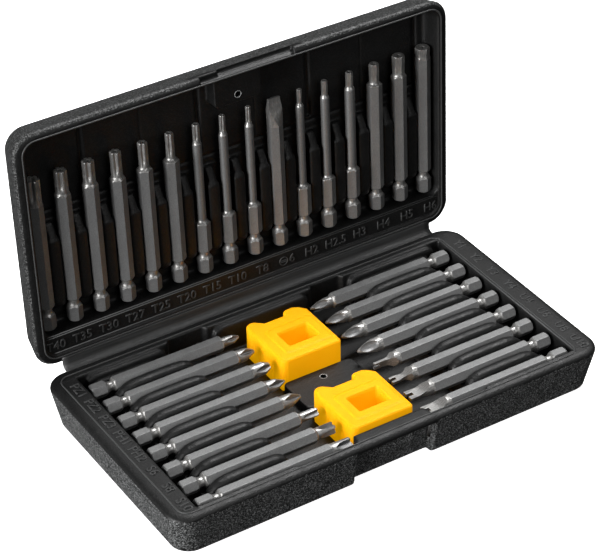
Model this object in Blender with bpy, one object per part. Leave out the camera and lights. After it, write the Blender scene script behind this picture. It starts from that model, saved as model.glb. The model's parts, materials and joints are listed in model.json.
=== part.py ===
"""Long-reach hex bit set in a blow-moulded hinged case, with two tool magnetisers.

The case lies on its base with the lid stood open. Origin: the centre of the base's
footprint, on the surface it lies on. +X runs along the hinge, +Y points from the latch
to the hinge, +Z is up. Constants are in millimetres and degrees; the model is in metres.

Each half of the case is drawn in a half frame: x along the hinge, y away from the hinge
or the latch, and z out of its open side. The base's half frame is the world frame. The
lid's sits on the hinge axis and leans with the lid, so one set of functions makes both.
"""

import math

import bmesh
import bpy
from mathutils import Matrix, Vector

MM = 0.001

# Case halves
CASE_WIDTH = 217.3
CASE_DEPTH = 117.0
CORNER_RADIUS = 10.0
CORNER_STEPS = 5
EDGE_FILLET = 2.0
SKIN = 1.4
RIM_PLANE = 22.5
RIM_GAP = 0.15
BASE_DRAFT = 3.1
LID_DRAFT = 2.0
LID_THICKNESS = 15.0
LID_OPEN = 92.2

# Hinge web
HINGE_Y = 59.7
HINGE_LAND = 1.2
WEB_HALF_LENGTH = 97.0
WEB_GAP = 0.3
WEB_SIZE = 1.0

# Bits: quarter-inch hex shank, 75 mm long
BIT_LENGTH = 75.0
BIT_FLATS = 6.35
SHANK_LENGTH = 7.8
GROOVE_END = 12.0
GROOVE_RADIUS = 2.35
BIT_CHAMFER = 0.7
SIDES = 12

# Base bank of bits
BASE_ROWS = 8
BASE_FIRST_ROW = 41.5
BASE_PITCH = 12.92
BASE_SHANK_X = 94.05
BASE_BIT_Z = 18.1

# Lid bank of bits
LID_COLUMNS = 16
LID_FIRST_COLUMN = -98.8
LID_PITCH = 13.16
LID_SHANK_Y = 17.4
LID_BIT_Z = -6.8
LID_BIT_TURN = 30.0

# Inside of the base
BED_GAP = 0.3
TRENCH_Z = 7.0
CAVITY_HALF = 95.5
CAVITY_FRONT = -53.1
CAVITY_BACK = 52.5
BED_X = (46.0, 86.0)
FINGER_WIDTH = 5.0
BASE_PAD = (-16.4, 19.5, -12.0, 10.4)
BASE_PAD_TOP = 11.1
BASE_HOLE = (1.7, 3.8)
LATCH_X = (-21.0, 19.0)
DETENT_X = (-12.0, 10.5)

# Inside of the lid
LID_CAVITY_HALF = 103.2
LID_CAVITY_Y = (15.6, 112.3)
LID_FLOOR = -11.2
LID_BED_Y = (20.0, 66.0)
LID_FINGER_WIDTH = 6.1
LABEL_LEDGE_Z = -1.6
LABEL_LEDGE_START = 5.2
LID_PAD_X = (-11.2, 12.0)
LID_PAD_Y = (97.6, 113.0)
LID_PAD_TOP = -4.0
LID_HOLE = (0.4, 101.6)
HOLE_RADIUS = 1.5
LATCH_SLOT_X = (-18.5, 28.0)

# Magnetiser blocks
BLOCK_X = (-15.3, 15.4)
BLOCK_LENGTH = 33.4
BLOCK_BOTTOM = 3.6
BLOCK_TOP = 22.4
BLOCK_FRONTS = {"rear": 9.6, "front": -46.3}
WINDOW_X = (-6.2, 9.0)
WINDOW_Y = (8.8, 19.0)
COVER_THICKNESS = 1.2
MAGNET_SIZE = (2.6, 12.0, 10.0)
POCKET_GAP = 0.4
POCKET_FLOOR = 3.3

# Colours, linear
CASE_COLOUR = (0.020, 0.021, 0.022, 1.0)
WEB_COLOUR = (0.060, 0.062, 0.064, 1.0)
STEEL_COLOUR = (0.33, 0.32, 0.30, 1.0)
YELLOW_COLOUR = (1.0, 0.56, 0.01, 1.0)
MAGNET_COLOUR = (0.45, 0.45, 0.47, 1.0)


# ---------------------------------------------------------------- scene and materials

def clear_scene():
    for obj in list(bpy.data.objects):
        bpy.data.objects.remove(obj, do_unlink=True)


def material(name, colour, roughness, metallic=0.0):
    """A Principled material with one colour and finish."""
    mat = bpy.data.materials.new(name)
    mat.use_nodes = True
    shader = mat.node_tree.nodes["Principled BSDF"]
    shader.inputs["Base Color"].default_value = colour
    shader.inputs["Roughness"].default_value = roughness
    shader.inputs["Metallic"].default_value = metallic
    mat.diffuse_color = colour
    return mat


def add_object(name, bm, mat, parent=None):
    """Turn a bmesh in millimetres into a named object in metres."""
    bmesh.ops.recalc_face_normals(bm, faces=bm.faces)
    bmesh.ops.scale(bm, vec=(MM, MM, MM), verts=bm.verts)
    mesh = bpy.data.meshes.new(name)
    bm.to_mesh(mesh)
    bm.free()
    obj = bpy.data.objects.new(name, mesh)
    bpy.context.scene.collection.objects.link(obj)
    if mat:
        mesh.materials.append(mat)
    if parent:
        obj.parent = parent
    return obj


def add_tool(name, bm, parent=None):
    """A cutter or filler that other objects' Boolean modifiers use."""
    tool = add_object(name, bm, None, parent)
    tool.hide_render = True
    tool.display_type = "WIRE"
    return tool


def boolean(obj, tool, operation):
    mod = obj.modifiers.new(f"{operation.lower()} {tool.name}", "BOOLEAN")
    mod.operation = operation
    mod.object = tool
    mod.solver = "EXACT"


# ---------------------------------------------------------------- closed solids

def rounded_rectangle(x0, x1, y0, y1, radius, steps=CORNER_STEPS):
    """Corner arcs of a rectangle, anticlockwise from the low-x, low-y corner."""
    corners = ((x0, y0, 180), (x1, y0, 270), (x1, y1, 0), (x0, y1, 90))
    points = []
    for x, y, start in corners:
        cx = x + radius if x == x0 else x - radius
        cy = y + radius if y == y0 else y - radius
        for i in range(steps + 1):
            angle = math.radians(start + 90 * i / steps)
            points.append((cx + radius * math.cos(angle), cy + radius * math.sin(angle)))
    return points


def loft(bm, rings):
    """Join rings of equal length, each a list of 3-D points, into one closed solid."""
    rows = [[bm.verts.new(p) for p in ring] for ring in rings]
    for low, high in zip(rows, rows[1:]):
        for i in range(len(low)):
            j = (i + 1) % len(low)
            bm.faces.new((low[i], low[j], high[j], high[i]))
    bm.faces.new(list(reversed(rows[0])))
    bm.faces.new(rows[-1])


def prism(bm, outline, z0, z1):
    """An outline in the xy plane, extruded from z0 to z1."""
    loft(bm, [[(x, y, z) for x, y in outline] for z in (z0, z1)])


def box(bm, xs, ys, zs):
    prism(bm, [(xs[0], ys[0]), (xs[1], ys[0]), (xs[1], ys[1]), (xs[0], ys[1])], *zs)


def side_prism_x(bm, profile, x0, x1):
    """A profile in the yz plane, extruded along x."""
    loft(bm, [[(x, y, z) for y, z in profile] for x in (x0, x1)])


def side_prism_y(bm, profile, y0, y1):
    """A profile in the xz plane, extruded along y."""
    loft(bm, [[(x, y, z) for x, z in profile] for y in (y0, y1)])


def cylinder(bm, centre, radius, z0, z1, sides=12):
    ring = [2 * math.pi * i / sides for i in range(sides)]
    prism(bm, [(centre[0] + radius * math.cos(a), centre[1] + radius * math.sin(a)) for a in ring], z0, z1)


# ---------------------------------------------------------------- case halves

def half_body(bm, ys, z_rim, z_back, draft, inset=0.0, fillet=EDGE_FILLET):
    """The drafted tray-shaped outside of a half, or with an inset its inner air space."""
    half = CASE_WIDTH / 2 - inset
    bottom = z_back + inset
    top = z_rim - inset
    stations = [(top, 0.0), (bottom + fillet, draft)]
    for angle in (45, 90):
        turn = math.radians(angle)
        stations.append((bottom + fillet * (1 - math.sin(turn)), draft + fillet * (1 - math.cos(turn))))
    rings = []
    for z, shift in reversed(stations):
        outline = rounded_rectangle(-half + shift, half - shift, ys[0] + inset + shift,
                                    ys[1] - inset - shift, CORNER_RADIUS - inset)
        rings.append([(x, y, z) for x, y in outline])
    loft(bm, rings)


def stepped_outline(grow=0.0):
    """The base cavity's outline: straight sides, with steps in its front and back lips."""
    half = CAVITY_HALF + grow
    front = ((-half, CAVITY_FRONT), (-47.0, CAVITY_FRONT), (-47.0, -54.3), (-18.6, -54.3),
             (-17.6, -49.3), (17.6, -49.3), (18.6, -54.3), (47.0, -54.3), (47.0, CAVITY_FRONT),
             (half, CAVITY_FRONT))
    back = ((half, 50.3), (42.0, 50.3), (41.0, CAVITY_BACK), (26.0, CAVITY_BACK), (25.0, 50.3),
            (-30.0, 50.3), (-31.0, CAVITY_BACK), (-49.0, CAVITY_BACK), (-50.0, 50.3), (-half, 50.3))
    return [(x, y - grow) for x, y in front] + [(x, y + grow) for x, y in back]


def finger_rows():
    return [BASE_FIRST_ROW - BASE_PITCH * (i + 0.5) for i in range(BASE_ROWS - 1)]


def base_furniture():
    """Bit beds, the ribs between the bits, and the centre pad, all grown from the floor."""
    bed_top = BASE_BIT_Z - BIT_FLATS / 2 - BED_GAP
    inner, outer = BED_X
    bm = bmesh.new()
    for side in (-1, 1):
        profile = [(side * x, z) for x, z in (
            (inner, TRENCH_Z - 1), (outer, TRENCH_Z - 1), (outer, bed_top), (inner, bed_top))]
        side_prism_y(bm, profile, -52.0, 46.0)
    beds = add_tool("base_beds", bm)
    bm = bmesh.new()
    for side in (-1, 1):
        profile = [(side * x, z) for x, z in (
            (inner + 0.5, bed_top - 1), (outer - 0.5, bed_top - 1), (outer - 1.5, 19.4),
            (outer - 5.0, 21.8), (inner + 7.0, 22.0), (inner + 3.0, 20.4))]
        for y in finger_rows():
            side_prism_y(bm, profile, y - FINGER_WIDTH / 2, y + FINGER_WIDTH / 2)
    fingers = add_tool("base_fingers", bm)
    bm = bmesh.new()
    prism(bm, rounded_rectangle(*BASE_PAD, 2.5, 2), TRENCH_Z - 1, BASE_PAD_TOP)
    return beds, fingers, add_tool("base_pad", bm)


def base_void():
    """The air space between the base's two skins."""
    bed_top = BASE_BIT_Z - BIT_FLATS / 2 - BED_GAP
    bm = bmesh.new()
    half_body(bm, (-CASE_DEPTH / 2, CASE_DEPTH / 2), RIM_PLANE - RIM_GAP, 0.0, BASE_DRAFT, SKIN, 1.0)
    void = add_tool("base_void", bm)

    bm = bmesh.new()
    prism(bm, stepped_outline(SKIN), TRENCH_Z - SKIN, RIM_PLANE + 5)
    inner_skin = add_tool("base_inner_skin", bm)
    bm = bmesh.new()
    for side in (-1, 1):
        xs = sorted(side * x for x in (BED_X[0] + SKIN, BED_X[1] - SKIN))
        box(bm, xs, (-50.5, 44.5), (TRENCH_Z - 2 * SKIN, bed_top - SKIN))
    box(bm, (BASE_PAD[0] + SKIN, BASE_PAD[1] - SKIN), (BASE_PAD[2] + 2 * SKIN, BASE_PAD[3] - 2 * SKIN),
        (TRENCH_Z - 2 * SKIN, BASE_PAD_TOP - SKIN))
    boolean(inner_skin, add_tool("base_hollow_beds", bm), "DIFFERENCE")
    boolean(void, inner_skin, "DIFFERENCE")

    bm = bmesh.new()
    for y in BLOCK_FRONTS.values():
        box(bm, (BLOCK_X[0] - POCKET_GAP - SKIN, BLOCK_X[1] + POCKET_GAP + SKIN),
            (y - POCKET_GAP - SKIN, y + BLOCK_LENGTH + POCKET_GAP + SKIN), (-1.0, RIM_PLANE))
    box(bm, (LATCH_X[0] - SKIN, LATCH_X[1] + SKIN), (-60.0, -49.0), (-1.0, RIM_PLANE))
    boolean(void, add_tool("base_solid_places", bm), "DIFFERENCE")
    return void


def make_base(mat):
    bm = bmesh.new()
    half_body(bm, (-CASE_DEPTH / 2, CASE_DEPTH / 2), RIM_PLANE - RIM_GAP, 0.0, BASE_DRAFT)
    base = add_object("case_base", bm, mat)

    bm = bmesh.new()
    prism(bm, stepped_outline(), TRENCH_Z, RIM_PLANE + 1)
    boolean(base, add_tool("base_cavity", bm), "DIFFERENCE")
    for tool in base_furniture():
        boolean(base, tool, "UNION")

    bm = bmesh.new()
    for y in BLOCK_FRONTS.values():
        box(bm, (BLOCK_X[0] - POCKET_GAP, BLOCK_X[1] + POCKET_GAP),
            (y - POCKET_GAP, y + BLOCK_LENGTH + POCKET_GAP), (POCKET_FLOOR, RIM_PLANE + 1))
    boolean(base, add_tool("magnetiser_pockets", bm), "DIFFERENCE")

    bm = bmesh.new()
    side_prism_x(bm, [(-61.0, -1.0), (-50.6, -1.0), (-53.6, 18.6), (-61.0, 19.8)], *LATCH_X)
    boolean(base, add_tool("latch_recess", bm), "DIFFERENCE")
    bm = bmesh.new()
    side_prism_x(bm, [(-56.0, 9.4), (-50.9, 9.4), (-51.8, 15.4), (-56.0, 15.4)], *DETENT_X)
    boolean(base, add_tool("latch_detent", bm), "DIFFERENCE")

    boolean(base, base_void(), "DIFFERENCE")
    bm = bmesh.new()
    cylinder(bm, BASE_HOLE, HOLE_RADIUS, BASE_PAD_TOP - 2.5, BASE_PAD_TOP + 1)
    boolean(base, add_tool("base_blow_hole", bm), "DIFFERENCE")
    return base


def lid_void(frame):
    """The air space between the lid's two skins."""
    bm = bmesh.new()
    half_body(bm, (HINGE_LAND, CASE_DEPTH - 0.5), -RIM_GAP, -LID_THICKNESS, LID_DRAFT, SKIN, 1.0)
    void = add_tool("lid_void", bm, frame)

    half = LID_CAVITY_HALF + SKIN
    bm = bmesh.new()
    box(bm, (-half, half), (LID_CAVITY_Y[0] - SKIN, LID_CAVITY_Y[1] + SKIN), (LID_FLOOR - SKIN, 5.0))
    inner_skin = add_tool("lid_inner_skin", bm, frame)
    bm = bmesh.new()
    box(bm, (LID_PAD_X[0] + SKIN, LID_PAD_X[1] - SKIN), (LID_PAD_Y[0] + SKIN, LID_PAD_Y[1] - 1),
        (LID_FLOOR - 2 * SKIN, LID_PAD_TOP - SKIN))
    boolean(inner_skin, add_tool("lid_hollow_pad", bm, frame), "DIFFERENCE")
    boolean(void, inner_skin, "DIFFERENCE")

    bm = bmesh.new()
    box(bm, (-half, half), (LABEL_LEDGE_START - SKIN, LID_CAVITY_Y[0]), (LABEL_LEDGE_Z - SKIN, 5.0))
    box(bm, (-CASE_WIDTH / 2, CASE_WIDTH / 2), (112.8, CASE_DEPTH), (LID_FLOOR - SKIN, 5.0))
    boolean(void, add_tool("lid_solid_places", bm, frame), "DIFFERENCE")
    return void


def lid_columns():
    return [LID_FIRST_COLUMN + LID_PITCH * i for i in range(LID_COLUMNS)]


def make_lid(mat, frame):
    bm = bmesh.new()
    half_body(bm, (HINGE_LAND, CASE_DEPTH - 0.5), -RIM_GAP, -LID_THICKNESS, LID_DRAFT)
    lid = add_object("case_lid", bm, mat, frame)

    half = LID_CAVITY_HALF
    bm = bmesh.new()
    prism(bm, rounded_rectangle(-half, half, *LID_CAVITY_Y, 4.0, 3), LID_FLOOR, 1.0)
    boolean(lid, add_tool("lid_cavity", bm, frame), "DIFFERENCE")
    bm = bmesh.new()
    box(bm, (-half, half), (LABEL_LEDGE_START, LID_CAVITY_Y[0] + 5), (LABEL_LEDGE_Z, 1.0))
    boolean(lid, add_tool("label_ledge", bm, frame), "DIFFERENCE")

    bed_top = LID_BIT_Z - BIT_FLATS / math.sqrt(3) - BED_GAP
    bm = bmesh.new()
    box(bm, (-half - 1, half + 1), LID_BED_Y, (LID_FLOOR - 0.8, bed_top))
    boolean(lid, add_tool("lid_bed", bm, frame), "UNION")
    bm = bmesh.new()
    profile = [(25.0, bed_top - 0.8), (67.0, bed_top - 0.8), (66.0, -8.4), (61.5, -3.8),
               (29.5, -3.8), (26.0, -7.0)]
    for x in lid_columns()[:-1]:
        middle = x + LID_PITCH / 2
        side_prism_x(bm, profile, middle - LID_FINGER_WIDTH / 2, middle + LID_FINGER_WIDTH / 2)
    boolean(lid, add_tool("lid_fingers", bm, frame), "UNION")
    bm = bmesh.new()
    box(bm, LID_PAD_X, LID_PAD_Y, (LID_FLOOR - 0.8, LID_PAD_TOP))
    boolean(lid, add_tool("lid_pad", bm, frame), "UNION")

    bm = bmesh.new()
    box(bm, LATCH_SLOT_X, (113.7, CASE_DEPTH + 1), (-4.9, -3.4))
    boolean(lid, add_tool("latch_slot", bm, frame), "DIFFERENCE")
    boolean(lid, lid_void(frame), "DIFFERENCE")
    bm = bmesh.new()
    cylinder(bm, LID_HOLE, HOLE_RADIUS, LID_PAD_TOP - 2.4, LID_PAD_TOP + 1)
    boolean(lid, add_tool("lid_blow_hole", bm, frame), "DIFFERENCE")
    return lid


def make_web(mat):
    """The hinge web, drawn as the bar of plastic that bends on the hinge axis."""
    start = CASE_DEPTH / 2 + WEB_GAP
    bm = bmesh.new()
    box(bm, (-WEB_HALF_LENGTH, WEB_HALF_LENGTH), (start, HINGE_Y + WEB_SIZE / 2),
        (RIM_PLANE - WEB_SIZE / 2, RIM_PLANE + WEB_SIZE / 2 - 0.1))
    return add_object("living_hinge", bm, mat)


# ---------------------------------------------------------------- bits

def ring(z, radii):
    """SIDES points around the bit's axis at height z, with the given radius at each."""
    points = []
    for i in range(SIDES):
        angle = 2 * math.pi * i / SIDES
        r = radii[i % len(radii)]
        points.append((r * math.cos(angle), r * math.sin(angle), z))
    return points


def hexagon(flats):
    """Corner and mid-flat radii of a hexagon: a flat faces +Y."""
    return (flats / math.sqrt(3), flats / 2)


def lobes(count, outer, inner):
    """Radii with `count` ridges of radius outer and valleys of radius inner between."""
    step = SIDES // count
    return tuple(outer if i % step == 0 else inner for i in range(SIDES))


def shank_rings(body_end):
    """From the shank's end to the end of the hex body, with the chuck groove."""
    small = hexagon(BIT_FLATS - 2 * BIT_CHAMFER)
    full = hexagon(BIT_FLATS)
    groove = (GROOVE_RADIUS,)
    return [ring(0, small), ring(BIT_CHAMFER, full), ring(SHANK_LENGTH - 0.9, full),
            ring(SHANK_LENGTH + 0.4, groove), ring(GROOVE_END - 1.2, groove),
            ring(GROOVE_END, full), ring(body_end, full)]


def blade_ring(z, half_width, half_thickness, turn):
    """A flat blade's section with as many points as the other rings; wide along X, then turned."""
    fractions = (1.0, 0.75, 0.35, 0.0, -0.35, -0.75)
    top = [(half_width * f, half_thickness if 0 < i else 0.0, z) for i, f in enumerate(fractions)]
    turned = Matrix.Rotation(math.radians(turn), 3, "Z")
    return [turned @ Vector(p) for p in top + [(-x, -y, z) for x, y, _ in top]]


def star_tip(diameter, body_end):
    """A six-lobed security tip: neck, then lobes, full length parallel."""
    outer = diameter / 2
    section = lobes(6, outer, outer * 0.76)
    neck = (min(outer * 0.95, 2.9),)
    return [ring(body_end + 1.2, neck), ring(body_end + 2.6, neck),
            ring(body_end + 3.4, section), ring(BIT_LENGTH, section)]


def hex_tip(flats, tip_start):
    section = hexagon(flats)
    return [ring(tip_start, section), ring(BIT_LENGTH, section)]


def cross_tip(body_end, outer, blunt, waist):
    """Four wings that taper to a point, or to a blunt end of radius blunt."""
    return [ring(body_end + 1.6, (waist,)), ring(body_end + 2.6, lobes(4, outer, outer * 0.72)),
            ring(BIT_LENGTH - 2 * outer + blunt, lobes(4, outer, outer * 0.5)),
            ring(BIT_LENGTH, lobes(4, blunt, blunt * 0.6))]


def offset_cross_tip(body_end, outer):
    """Four parallel wings with a square-cut end."""
    section = lobes(4, outer, outer * 0.62)
    return [ring(body_end + 1.4, (outer * 1.02,)), ring(body_end + 3.2, section), ring(BIT_LENGTH, section)]


def tri_tip(body_end, outer):
    """Three wings that taper to a narrow end."""
    return [ring(body_end + 1.6, (outer,)), ring(body_end + 3.0, lobes(3, outer, outer * 0.66)),
            ring(BIT_LENGTH, lobes(3, outer * 0.3, outer * 0.2))]


def blade_tip(body_end, half_width, half_thickness, turn=0.0):
    return [ring(body_end + 1.2, (2.9,)), blade_ring(body_end + 7.5, half_width, half_thickness, turn),
            blade_ring(BIT_LENGTH, half_width, half_thickness, turn)]


def thin_shaft(hex_end, radius, shaft_end):
    """A short hex body that steps down to a round shaft."""
    return shank_rings(hex_end) + [ring(hex_end + 1.4, (radius,)), ring(shaft_end, (radius,))]


STAR_SIZES = ((40, 6.6), (35, 5.86), (30, 5.52), (27, 4.99), (25, 4.43), (20, 3.86),
              (15, 3.26), (10, 2.74), (8, 2.31))
HEX_SIZES = (2, 2.5, 3, 4, 5, 6)
LID_BODY_END = 62.0
SHORT_HEX_END = 25.3
THIN_RADIUS = 2.05


def star_bit(size, diameter):
    if size >= 20:
        body_end = LID_BODY_END + (1.0 if size >= 30 else 0.0)
        return shank_rings(body_end) + star_tip(diameter, body_end)
    shaft_end = BIT_LENGTH - 9.5
    tip = star_tip(diameter, shaft_end + 0.4)
    return thin_shaft(SHORT_HEX_END, THIN_RADIUS, shaft_end) + tip


def hex_bit(flats):
    if flats < 4:
        shaft_end = BIT_LENGTH - 8.5
        return thin_shaft(SHORT_HEX_END, THIN_RADIUS, shaft_end) + hex_tip(flats, shaft_end + 1.4)
    body_end = BIT_LENGTH - (8.5 if flats < 6 else 5.5)
    neck = [] if flats == 6 else [ring(body_end + 1.0, (flats * 0.56,))]
    return shank_rings(body_end) + neck + hex_tip(flats, body_end + (2.0 if neck else 0.6))


def lid_bits():
    """Name and rings of the lid's bits, from the left."""
    bits = [(f"bit_star_{size}", star_bit(size, diameter), diameter * 0.15)
            for size, diameter in STAR_SIZES]
    blade = blade_tip(LID_BODY_END, 3.0, 0.55, -LID_BIT_TURN)
    bits.append(("bit_slot_6", shank_rings(LID_BODY_END) + blade, 0.0))
    bits += [(f"bit_hex_{str(flats).replace('.', '_')}", hex_bit(flats), flats * 0.17)
             for flats in HEX_SIZES]
    return bits


def left_bits():
    """Name and rings of the base's left bank, from the hinge to the latch."""
    bits = []
    for size, outer, blunt in ((1, 2.2, 0.5), (2, 3.0, 0.9), (3, 3.2, 1.9)):
        bits.append((f"bit_pozi_{size}", shank_rings(65.5) + cross_tip(65.5, outer, blunt, 2.6), 0.0))
    for size, outer, blunt in ((1, 2.4, 0.4), (2, 3.1, 0.6)):
        bits.append((f"bit_cross_{size}", shank_rings(64.5) + cross_tip(64.5, outer, blunt, 2.8), 0.0))
    for size, outer in ((6, 2.1), (8, 2.7), (10, 3.1)):
        bits.append((f"bit_offset_cross_{size}", shank_rings(65.2) + offset_cross_tip(65.2, outer), 0.0))
    return bits


def right_bits():
    """Name and rings of the base's right bank, from the hinge to the latch."""
    bits = [(f"bit_tri_{size}", shank_rings(63.5) + tri_tip(63.5, outer), 0.0)
            for size, outer in ((1, 2.5), (2, 2.8), (3, 3.0), (4, 3.2))]
    for size, half_width in ((4, 1.6), (6, 2.2), (8, 2.9), (10, 3.1)):
        bits.append((f"bit_fork_{size}", shank_rings(62.5) + blade_tip(62.5, half_width, 0.7), 0.0))
    return bits


def make_bit(name, rings, hole_radius, mat, placing, frame=None):
    """A bit placed by a matrix in millimetres; a security bit gets a blind hole in its end."""
    bm = bmesh.new()
    loft(bm, rings)
    if hole_radius:
        end = max(bm.faces, key=lambda f: f.calc_center_median().z)
        bmesh.ops.inset_region(bm, faces=[end], thickness=0.2)
        for v in end.verts:
            angle = math.atan2(v.co.y, v.co.x)
            v.co = Vector((hole_radius * math.cos(angle), hole_radius * math.sin(angle), BIT_LENGTH))
        out = bmesh.ops.extrude_discrete_faces(bm, faces=[end])
        bmesh.ops.translate(bm, verts=out["faces"][0].verts, vec=(0, 0, -2.5))
    obj = add_object(name, bm, mat, frame)
    obj.matrix_local = placing
    if name.startswith("bit_fork"):
        cut_fork(obj, int(name.rsplit("_", 1)[1]), placing, frame)
    return obj


def cut_fork(obj, size, placing, frame):
    """The gap between a fork bit's two prongs."""
    half_gap = 0.45 + 0.06 * size
    bm = bmesh.new()
    box(bm, (-half_gap, half_gap), (-5.0, 5.0), (BIT_LENGTH - 2.4, BIT_LENGTH + 1.0))
    tool = add_tool(f"{obj.name}_gap", bm, frame)
    tool.matrix_local = placing
    boolean(obj, tool, "DIFFERENCE")


def placed(x_axis, y_axis, z_axis, origin):
    """A matrix from axes and an origin in millimetres."""
    rows = Matrix((x_axis, y_axis, z_axis)).transposed().to_4x4()
    rows.translation = Vector(origin) * MM
    return rows


def make_bits(mat, frame):
    for i, (name, rings, hole) in enumerate(left_bits()):
        at = (-BASE_SHANK_X, BASE_FIRST_ROW - BASE_PITCH * i, BASE_BIT_Z)
        make_bit(name, rings, hole, mat, placed((0, 1, 0), (0, 0, 1), (1, 0, 0), at))
    for i, (name, rings, hole) in enumerate(right_bits()):
        at = (BASE_SHANK_X, BASE_FIRST_ROW - BASE_PITCH * i, BASE_BIT_Z)
        make_bit(name, rings, hole, mat, placed((0, -1, 0), (0, 0, 1), (-1, 0, 0), at))
    for x, (name, rings, hole) in zip(lid_columns(), lid_bits()):
        at = (x, LID_SHANK_Y, LID_BIT_Z)
        corner_out = Matrix.Rotation(math.radians(LID_BIT_TURN), 4, "Z")
        turned = placed((-1, 0, 0), (0, 0, 1), (0, 1, 0), at) @ corner_out
        make_bit(name, rings, hole, mat, turned, frame)


# ---------------------------------------------------------------- magnetisers

def block_outline(inset=0.0):
    """The block from above: two horns at the back with a tool rest between them."""
    x0, x1 = BLOCK_X[0] + inset, BLOCK_X[1] - inset
    y0, y1 = inset, BLOCK_LENGTH - inset
    rest = BLOCK_LENGTH - 3.5 - inset
    return [(x0, y0 + 3.0), (x0 + 2.4, y0), (x1 - 0.8, y0), (x1, y0 + 0.8), (x1, y1 - 4.2),
            (x1 - 4.4, y1), (7.0 + inset, y1), (4.6 + inset, y1 - 1.2), (4.2 + inset, rest),
            (-6.4 - inset, rest), (-10.4, y1), (x0 + 2.2, y1), (x0 + 0.4, y1 - 1.2), (x0, y1 - 3.2)]


def magnet_places():
    """Low corners in x and y of the two magnet bays, one at each side of the window."""
    y = (WINDOW_Y[0] + WINDOW_Y[1] - MAGNET_SIZE[1]) / 2
    return ((WINDOW_X[0] - 1.8 - MAGNET_SIZE[0], y), (WINDOW_X[1] + 1.8, y))


def make_magnetiser(place, front, yellow, steel):
    """A block with its two bar magnets and the plate that closes it underneath."""
    cover_top = BLOCK_BOTTOM + COVER_THICKNESS
    body_bottom = cover_top + 0.3
    stations = ((body_bottom, 0.0), (BLOCK_TOP - 1.1, 0.0), (BLOCK_TOP - 0.3, 0.35), (BLOCK_TOP, 1.1))
    bm = bmesh.new()
    loft(bm, [[(x, y + front, z) for x, y in block_outline(inset)] for z, inset in stations])
    body = add_object(f"magnetiser_{place}_body", bm, yellow)

    window_y = (front + WINDOW_Y[0], front + WINDOW_Y[1])
    bm = bmesh.new()
    box(bm, WINDOW_X, window_y, (0.0, BLOCK_TOP + 1))
    window = add_tool(f"magnetiser_{place}_window", bm)
    boolean(body, window, "DIFFERENCE")

    bm = bmesh.new()
    wide, long, tall = (s + 0.6 for s in MAGNET_SIZE)
    for x, y in magnet_places():
        box(bm, (x - 0.3, x - 0.3 + wide), (front + y - 0.3, front + y - 0.3 + long),
            (body_bottom - 1, body_bottom + tall))
    boolean(body, add_tool(f"magnetiser_{place}_bays", bm), "DIFFERENCE")

    bm = bmesh.new()
    prism(bm, [(x, y + front) for x, y in block_outline(0.2)], BLOCK_BOTTOM, cover_top)
    cover = add_object(f"magnetiser_{place}_cover", bm, yellow)
    boolean(cover, window, "DIFFERENCE")

    for side, (x, y) in zip(("left", "right"), magnet_places()):
        bm = bmesh.new()
        box(bm, (x, x + MAGNET_SIZE[0]), (front + y, front + y + MAGNET_SIZE[1]),
            (body_bottom, body_bottom + MAGNET_SIZE[2]))
        add_object(f"magnetiser_{place}_magnet_{side}", bm, steel)


# ---------------------------------------------------------------- assembly

def main():
    clear_scene()
    case = material("case_plastic", CASE_COLOUR, 0.62)
    web = material("hinge_web", WEB_COLOUR, 0.55)
    steel = material("bit_steel", STEEL_COLOUR, 0.42, 1.0)
    yellow = material("magnetiser_plastic", YELLOW_COLOUR, 0.45)
    magnet = material("magnet_plating", MAGNET_COLOUR, 0.25, 1.0)

    hinge = bpy.data.objects.new("lid_hinge", None)
    hinge.location = Vector((0, HINGE_Y, RIM_PLANE)) * MM
    lean = math.radians(LID_OPEN)
    along = (0, -math.cos(lean), math.sin(lean))
    out = (0, -math.sin(lean), -math.cos(lean))
    hinge.rotation_euler = Matrix(((1, 0, 0), along, out)).transposed().to_euler()
    bpy.context.scene.collection.objects.link(hinge)

    make_base(case)
    make_lid(case, hinge)
    make_web(web)
    make_bits(steel, hinge)
    for place, front in BLOCK_FRONTS.items():
        make_magnetiser(place, front, yellow, magnet)
    bpy.context.view_layer.update()


main()
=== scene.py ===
"""Looks of a long-reach bit set in a blow-moulded case: soft-edged case halves with moulded
size codes, sand-blasted bits with ground tips, and two yellow magnetiser blocks.

Sizes are in millimetres unless a name says otherwise. Each case half is drawn in its half
frame: x along the hinge, y away from the latch (base) or from the hinge (lid), and z out of
its open side. The base's half frame is the world frame; the lid's leans with the lid.
"""

import json
import math

import bmesh
import bpy
from mathutils import Matrix, Vector


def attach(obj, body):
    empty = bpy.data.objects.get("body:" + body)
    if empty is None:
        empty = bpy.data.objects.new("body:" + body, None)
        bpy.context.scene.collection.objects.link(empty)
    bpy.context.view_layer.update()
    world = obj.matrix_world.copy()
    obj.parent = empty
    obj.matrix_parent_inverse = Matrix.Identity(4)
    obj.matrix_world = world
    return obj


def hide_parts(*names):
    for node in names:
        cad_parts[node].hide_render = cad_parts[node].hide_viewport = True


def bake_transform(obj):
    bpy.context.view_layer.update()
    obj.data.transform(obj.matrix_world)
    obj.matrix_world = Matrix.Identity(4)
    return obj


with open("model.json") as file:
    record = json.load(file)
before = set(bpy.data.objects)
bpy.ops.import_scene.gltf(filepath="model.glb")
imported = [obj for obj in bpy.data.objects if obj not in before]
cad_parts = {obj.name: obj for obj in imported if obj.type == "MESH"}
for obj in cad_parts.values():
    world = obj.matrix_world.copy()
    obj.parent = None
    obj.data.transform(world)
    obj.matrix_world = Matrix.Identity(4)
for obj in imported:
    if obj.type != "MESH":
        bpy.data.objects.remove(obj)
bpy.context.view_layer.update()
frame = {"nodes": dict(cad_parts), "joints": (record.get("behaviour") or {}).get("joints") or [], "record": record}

MM = 0.001


# ---------------------------------------------------------------- places from the frame

def mount_axis(name):
    for mount in frame["record"]["mounts"]:
        if mount["name"] == name:
            return Vector(mount["axis"])


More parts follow.
